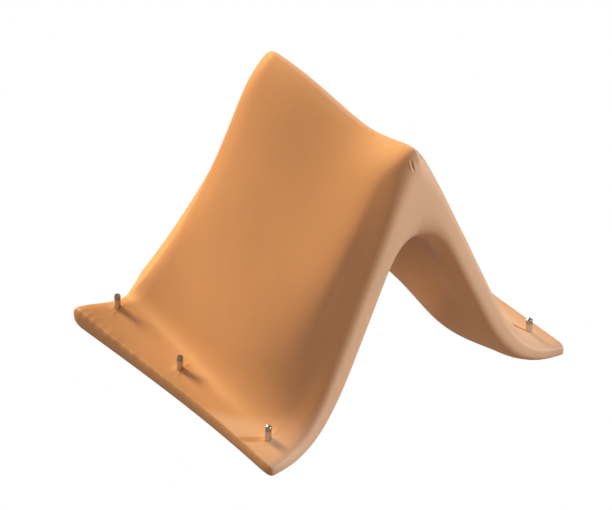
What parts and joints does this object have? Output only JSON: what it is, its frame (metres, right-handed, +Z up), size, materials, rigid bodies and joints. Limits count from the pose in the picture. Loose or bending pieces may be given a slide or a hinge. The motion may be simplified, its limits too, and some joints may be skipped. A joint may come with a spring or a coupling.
{
  "type": "stretch tent",
  "caption": "A-shaped stretch tent with a thick sagging canopy, concave walls, flat hems held by steel ground pegs, an arched opening at either end and leaning poles inside.",
  "frame": {"origin": "middle of the floor, on the ground", "axes": "+X to the right hem, +Y along the ridge to the back, +Z up; the front arch faces -Y"},
  "size_m": [2.7678, 2.4936, 2.1657],
  "materials": {
    "canopy_fabric": "satin",
    "peg_steel": "brushed",
    "pole_aluminium": "satin",
    "pole_cap": "matte"
  },
  "bodies": {
    "root": {"back_pole_collar": "pole_cap", "back_pole_foot": "pole_aluminium", "back_pole_head": "pole_cap", "back_pole_lower_tube": "pole_aluminium", "back_pole_upper_tube": "pole_aluminium", "canopy_back_left": "canopy_fabric", "canopy_back_peak": "canopy_fabric", "canopy_back_right": "canopy_fabric", "canopy_front_left": "canopy_fabric", "canopy_front_peak": "canopy_fabric", "canopy_front_right": "canopy_fabric", "canopy_left_hem": "canopy_fabric", "canopy_middle_left": "canopy_fabric", "canopy_middle_peak": "canopy_fabric", "canopy_middle_right": "canopy_fabric", "canopy_right_hem": "canopy_fabric", "front_pole_collar": "pole_cap", "front_pole_foot": "pole_aluminium", "front_pole_head": "pole_cap", "front_pole_lower_tube": "pole_aluminium", "front_pole_upper_tube": "pole_aluminium", "peg_left_back_head": "peg_steel", "peg_left_back_shaft": "peg_steel", "peg_left_front_head": "peg_steel", "peg_left_front_shaft": "peg_steel", "peg_left_middle_head": "peg_steel", "peg_left_middle_shaft": "peg_steel", "peg_right_back_head": "peg_steel", "peg_right_back_shaft": "peg_steel", "peg_right_front_head": "peg_steel", "peg_right_front_shaft": "peg_steel", "peg_right_middle_head": "peg_steel", "peg_right_middle_shaft": "peg_steel"}
  },
  "joints": []
}
